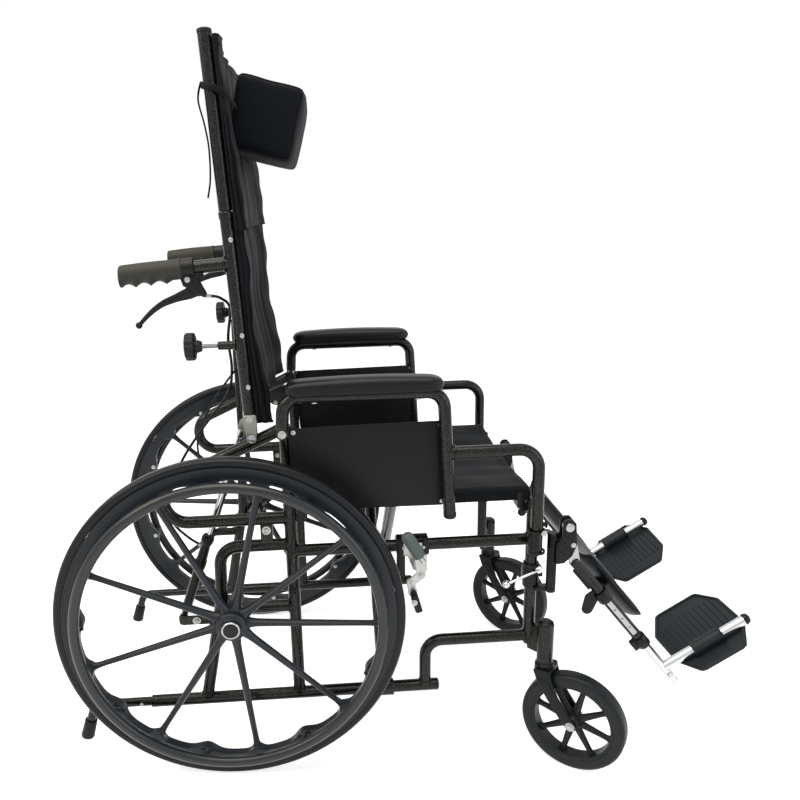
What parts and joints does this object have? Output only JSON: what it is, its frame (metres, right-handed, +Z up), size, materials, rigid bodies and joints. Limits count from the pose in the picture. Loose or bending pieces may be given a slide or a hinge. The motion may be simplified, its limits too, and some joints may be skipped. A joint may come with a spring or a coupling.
{
  "type": "reclining wheelchair",
  "caption": "Folding wheelchair with a reclining high back, head extension, flip-back arms, mag wheels, casters, elevating legrests and anti-tippers.",
  "frame": {"origin": "on the floor, under the middle of the bounding box", "axes": "+X forward, +Y to the chair's left, +Z up"},
  "size_m": [1.2787, 0.6655, 1.2668],
  "materials": {
    "grip_rubber": "moulded grip",
    "silver_vein_powder_coat": "hammered silver-vein powder coat",
    "arm_pad_vinyl": "grained vinyl",
    "black_nylon": "woven nylon",
    "calf_pad_vinyl": "grained vinyl",
    "fork_powder_coat": "satin black powder coat",
    "caster_moulding": "moulded wheel and tyre",
    "knob_plastic": "moulded knob",
    "chrome_plate": "bright chrome plate",
    "footplate_nylon": "moulded nylon",
    "cylinder_enamel": "black enamel",
    "handrim_vinyl_coat": "vinyl-coated tube",
    "pillow_nylon": "woven nylon",
    "bright_zinc": "bright zinc plate",
    "housing_coat": "satin black coat",
    "lever_plastic": "moulded nylon",
    "solid_tyre_polyurethane": "smooth solid tyre",
    "moulded_wheel_nylon": "moulded glass-filled nylon",
    "cable_jacket": "vinyl cable jacket",
    "skirt_panel": "smooth panel"
  },
  "bodies": {
    "right_frame": {"side_frame_right": "silver_vein_powder_coat", "seat_upholstery": "black_nylon"},
    "brace_a": {"cross_brace_a": "silver_vein_powder_coat"},
    "brace_b": {"cross_brace_b": "silver_vein_powder_coat"},
    "left_frame": {"side_frame_left": "silver_vein_powder_coat"},
    "right_back": {"back_cane_right": "silver_vein_powder_coat", "grip_right": "grip_rubber", "back_upholstery": "black_nylon", "recline_cable_right": "cable_jacket"},
    "left_back": {"back_cane_left": "silver_vein_powder_coat", "grip_left": "grip_rubber", "recline_cable_left": "cable_jacket"},
    "right_head_post": {"head_post_right": "silver_vein_powder_coat", "head_upholstery": "black_nylon", "head_pillow": "pillow_nylon"},
    "left_head_post": {"head_post_left": "silver_vein_powder_coat"},
    "spreader": {"spreader_bar": "silver_vein_powder_coat"},
    "right_trigger": {"trigger_lever_right": "lever_plastic"},
    "right_knob": {"clamp_knob_right": "knob_plastic"},
    "right_cylinder": {"gas_cylinder_right": "cylinder_enamel"},
    "right_rod": {"cylinder_rod_right": "chrome_plate"},
    "right_arm": {"arm_frame_right": "silver_vein_powder_coat", "arm_pad_right": "arm_pad_vinyl", "skirt_guard_right": "skirt_panel"},
    "right_wheel": {"rear_wheel_right": "moulded_wheel_nylon", "rear_tyre_right": "solid_tyre_polyurethane", "handrim_right": "handrim_vinyl_coat"},
    "right_fork": {"caster_fork_right": "fork_powder_coat"},
    "right_caster": {"caster_wheel_right": "caster_moulding"},
    "right_lock": {"lock_lever_right": "bright_zinc"},
    "right_shoe": {"lock_shoe_right": "lever_plastic"},
    "right_hanger": {"legrest_hanger_right": "housing_coat"},
    "right_latch": {"latch_lever_right": "bright_zinc"},
    "right_leg": {"leg_tube_right": "silver_vein_powder_coat"},
    "right_calf": {"calf_pad_right": "calf_pad_vinyl"},
    "right_post": {"footplate_post_right": "chrome_plate"},
    "right_plate": {"footplate_right": "footplate_nylon"},
    "right_tipper": {"anti_tipper_right": "grip_rubber"},
    "left_trigger": {"trigger_lever_left": "lever_plastic"},
    "left_knob": {"clamp_knob_left": "knob_plastic"},
    "left_cylinder": {"gas_cylinder_left": "cylinder_enamel"},
    "left_rod": {"cylinder_rod_left": "chrome_plate"},
    "left_arm": {"arm_frame_left": "silver_vein_powder_coat", "arm_pad_left": "arm_pad_vinyl", "skirt_guard_left": "skirt_panel"},
    "left_wheel": {"rear_wheel_left": "moulded_wheel_nylon", "rear_tyre_left": "solid_tyre_polyurethane", "handrim_left": "handrim_vinyl_coat"},
    "left_fork": {"caster_fork_left": "fork_powder_coat"},
    "left_caster": {"caster_wheel_left": "caster_moulding"},
    "left_lock": {"lock_lever_left": "bright_zinc"},
    "left_shoe": {"lock_shoe_left": "lever_plastic"},
    "left_hanger": {"legrest_hanger_left": "housing_coat"},
    "left_latch": {"latch_lever_left": "bright_zinc"},
    "left_leg": {"leg_tube_left": "silver_vein_powder_coat"},
    "left_calf": {"calf_pad_left": "calf_pad_vinyl"},
    "left_post": {"footplate_post_left": "chrome_plate"},
    "left_plate": {"footplate_left": "footplate_nylon"},
    "left_tipper": {"anti_tipper_left": "grip_rubber"}
  },
  "joints": [
    {"name": "fold", "type": "hinge", "parent": "right_frame", "child": "brace_a", "pos_m": [-0.05422, -0.2054, 0.12668], "axis": [0.9977, 0, 0.068], "range_deg": [0, 18], "deforming": ["seat_upholstery", "back_upholstery", "head_upholstery", "head_pillow"]},
    {"name": "fold_scissor", "type": "hinge", "parent": "brace_a", "child": "brace_b", "pos_m": [-0.06762, 0.0086, 0.32317], "axis": [0.9977, 0, 0.068], "range_deg": [-36, 0]},
    {"name": "fold_left_frame", "type": "hinge", "parent": "brace_b", "child": "left_frame", "pos_m": [-0.03028, 0.2226, 0.12832], "axis": [0.9977, 0, 0.068], "range_deg": [0, 18]},
    {"name": "recline", "type": "hinge", "parent": "right_frame", "child": "right_back", "pos_m": [-0.30668, -0.2054, 0.62467], "axis": [0, 1, 0], "range_deg": [-75, 0], "deforming": ["recline_cable_right", "recline_cable_left"]},
    {"name": "recline_left_cane", "type": "hinge", "parent": "left_frame", "child": "left_back", "pos_m": [-0.30668, 0.2226, 0.62467], "axis": [0, 1, 0], "range_deg": [-75, 0]},
    {"name": "right_cylinder_pivot", "type": "hinge", "parent": "right_frame", "child": "right_cylinder", "pos_m": [-0.43521, -0.1814, 0.26058], "axis": [0, 1, 0], "range_deg": [0, 1.11]},
    {"name": "right_rod_stroke", "type": "slide", "parent": "right_cylinder", "child": "right_rod", "axis": [0.2799, 0, 0.96], "range_m": [-0.0276, 0]},
    {"name": "left_cylinder_pivot", "type": "hinge", "parent": "left_frame", "child": "left_cylinder", "pos_m": [-0.43521, 0.1986, 0.26058], "axis": [0, 1, 0], "range_deg": [0, 1.11]},
    {"name": "left_rod_stroke", "type": "slide", "parent": "left_cylinder", "child": "left_rod", "axis": [0.2799, 0, 0.96], "range_m": [-0.0276, 0]},
    {"name": "head_lift", "type": "slide", "parent": "right_back", "child": "right_head_post", "axis": [-0.115, 0, 0.9934], "range_m": [0, 0.1]},
    {"name": "head_lift_left_post", "type": "slide", "parent": "left_back", "child": "left_head_post", "axis": [-0.115, 0, 0.9934], "range_m": [0, 0.1]},
    {"name": "spreader_swing", "type": "hinge", "parent": "left_back", "child": "spreader", "pos_m": [-0.38048, 0.2226, 0.78101], "axis": [0.9977, 0, 0.068], "range_deg": [-24.1, 0]},
    {"name": "right_trigger_squeeze", "type": "hinge", "parent": "right_back", "child": "right_trigger", "pos_m": [-0.41098, -0.2054, 0.89019], "axis": [0, 1, 0], "range_deg": [0, 22], "stiffness_Nm_per_rad": 0.2, "springref_deg": -5.73},
    {"name": "right_knob_turn", "type": "hinge", "parent": "right_back", "child": "right_knob", "pos_m": [-0.40941, -0.2054, 0.77904], "axis": [0.9977, 0, 0.068], "continuous": true},
    {"name": "right_arm_flip", "type": "hinge", "parent": "right_frame", "child": "right_arm", "pos_m": [-0.25382, -0.2414, 0.64331], "axis": [0, 1, 0], "range_deg": [-90, 0]},
    {"name": "right_wheel_spin", "type": "hinge", "parent": "right_frame", "child": "right_wheel", "pos_m": [-0.335, -0.2744, 0.305], "axis": [0, 1, 0], "continuous": true},
    {"name": "right_caster_swivel", "type": "hinge", "parent": "right_frame", "child": "right_fork", "pos_m": [0.24533, -0.2344, 0.20223], "axis": [-0.068, 0, 0.9977], "continuous": true},
    {"name": "right_caster_spin", "type": "hinge", "parent": "right_fork", "child": "right_caster", "pos_m": [0.3023, -0.26898, 0.09819], "axis": [0.5694, 0.8211, 0.0388], "continuous": true},
    {"name": "right_lock_turn", "type": "hinge", "parent": "right_frame", "child": "right_lock", "pos_m": [-0.00393, -0.2534, 0.38871], "axis": [0, 1, 0], "range_deg": [0, 28]},
    {"name": "right_shoe_turn", "type": "hinge", "parent": "right_lock", "child": "right_shoe", "pos_m": [-0.02093, -0.2534, 0.37352], "axis": [0, 1, 0], "range_deg": [-14, 0]},
    {"name": "right_legrest_swing", "type": "hinge", "parent": "right_frame", "child": "right_hanger", "pos_m": [0.24305, -0.2264, 0.35343], "axis": [-0.068, 0, 0.9977], "range_deg": [-90, 0]},
    {"name": "right_legrest_raise", "type": "hinge", "parent": "right_hanger", "child": "right_leg", "pos_m": [0.26231, -0.2264, 0.47662], "axis": [0, 1, 0], "range_deg": [-50, 0]},
    {"name": "right_calf_pad_swing", "type": "hinge", "parent": "right_leg", "child": "right_calf", "pos_m": [0.34443, -0.2264, 0.33685], "axis": [0.6743, 0, -0.7385], "range_deg": [-60, 0]},
    {"name": "right_footplate_height", "type": "slide", "parent": "right_leg", "child": "right_post", "axis": [0.6743, 0, -0.7385], "range_m": [-0.018, 0.05]},
    {"name": "right_footplate_flip", "type": "hinge", "parent": "right_post", "child": "right_plate", "pos_m": [0.48456, -0.2264, 0.18496], "axis": [0.8151, 0, 0.5793], "range_deg": [0, 95]},
    {"name": "right_latch_lift", "type": "hinge", "parent": "right_frame", "child": "right_latch", "pos_m": [0.21985, -0.2219, 0.38492], "axis": [0, 1, 0], "range_deg": [0, 25]},
    {"name": "right_tipper_slide", "type": "slide", "parent": "right_frame", "child": "right_tipper", "axis": [-0.9977, 0, -0.068], "range_m": [0, 0.03]},
    {"name": "left_trigger_squeeze", "type": "hinge", "parent": "left_back", "child": "left_trigger", "pos_m": [-0.41098, 0.2226, 0.89019], "axis": [0, 1, 0], "range_deg": [0, 22], "stiffness_Nm_per_rad": 0.2, "springref_deg": -5.73},
    {"name": "left_knob_turn", "type": "hinge", "parent": "left_back", "child": "left_knob", "pos_m": [-0.40941, 0.2226, 0.77904], "axis": [0.9977, 0, 0.068], "continuous": true},
    {"name": "left_arm_flip", "type": "hinge", "parent": "left_frame", "child": "left_arm", "pos_m": [-0.25382, 0.2586, 0.64331], "axis": [0, 1, 0], "range_deg": [-90, 0]},
    {"name": "left_wheel_spin", "type": "hinge", "parent": "left_frame", "child": "left_wheel", "pos_m": [-0.335, 0.2916, 0.305], "axis": [0, 1, 0], "continuous": true},
    {"name": "left_caster_swivel", "type": "hinge", "parent": "left_frame", "child": "left_fork", "pos_m": [0.24533, 0.2516, 0.20223], "axis": [-0.068, 0, 0.9977], "continuous": true},
    {"name": "left_caster_spin", "type": "hinge", "parent": "left_fork", "child": "left_caster", "pos_m": [0.29806, 0.2116, 0.0982], "axis": [0.6585, 0.7513, 0.0449], "continuous": true},
    {"name": "left_lock_turn", "type": "hinge", "parent": "left_frame", "child": "left_lock", "pos_m": [-0.00393, 0.2706, 0.38871], "axis": [0, 1, 0], "range_deg": [0, 28]},
    {"name": "left_shoe_turn", "type": "hinge", "parent": "left_lock", "child": "left_shoe", "pos_m": [-0.02093, 0.2706, 0.37352], "axis": [0, 1, 0], "range_deg": [-14, 0]},
    {"name": "left_legrest_swing", "type": "hinge", "parent": "left_frame", "child": "left_hanger", "pos_m": [0.24305, 0.2436, 0.35343], "axis": [-0.068, 0, 0.9977], "range_deg": [0, 90]},
    {"name": "left_legrest_raise", "type": "hinge", "parent": "left_hanger", "child": "left_leg", "pos_m": [0.26231, 0.2436, 0.47662], "axis": [0, 1, 0], "range_deg": [-50, 0]},
    {"name": "left_calf_pad_swing", "type": "hinge", "parent": "left_leg", "child": "left_calf", "pos_m": [0.34443, 0.2436, 0.33685], "axis": [0.6743, 0, -0.7385], "range_deg": [0, 60]},
    {"name": "left_footplate_height", "type": "slide", "parent": "left_leg", "child": "left_post", "axis": [0.6743, 0, -0.7385], "range_m": [-0.018, 0.05]},
    {"name": "left_footplate_flip", "type": "hinge", "parent": "left_post", "child": "left_plate", "pos_m": [0.48456, 0.2436, 0.18496], "axis": [0.8151, 0, 0.5793], "range_deg": [-95, 0]},
    {"name": "left_latch_lift", "type": "hinge", "parent": "left_frame", "child": "left_latch", "pos_m": [0.21985, 0.2391, 0.38492], "axis": [0, 1, 0], "range_deg": [0, 25]},
    {"name": "left_tipper_slide", "type": "slide", "parent": "left_frame", "child": "left_tipper", "axis": [-0.9977, 0, -0.068], "range_m": [0, 0.03]}
  ],
  "couplings": [
    {"joint": "fold_scissor", "follows": "fold", "ratio": -2},
    {"joint": "fold_left_frame", "follows": "fold", "ratio": 1},
    {"joint": "recline_left_cane", "follows": "recline", "ratio": 1},
    {"joint": "right_cylinder_pivot", "follows": "recline", "ratio": -0.014699},
    {"joint": "right_rod_stroke", "follows": "recline", "m_per_rad": 0.02098},
    {"joint": "left_cylinder_pivot", "follows": "recline", "ratio": -0.014699},
    {"joint": "left_rod_stroke", "follows": "recline", "m_per_rad": 0.02098},
    {"joint": "head_lift_left_post", "follows": "head_lift", "ratio": 1},
    {"joint": "spreader_swing", "follows": "recline", "ratio": 0.32},
    {"joint": "right_shoe_turn", "follows": "right_lock_turn", "ratio": -0.5},
    {"joint": "left_shoe_turn", "follows": "left_lock_turn", "ratio": -0.5}
  ]
}
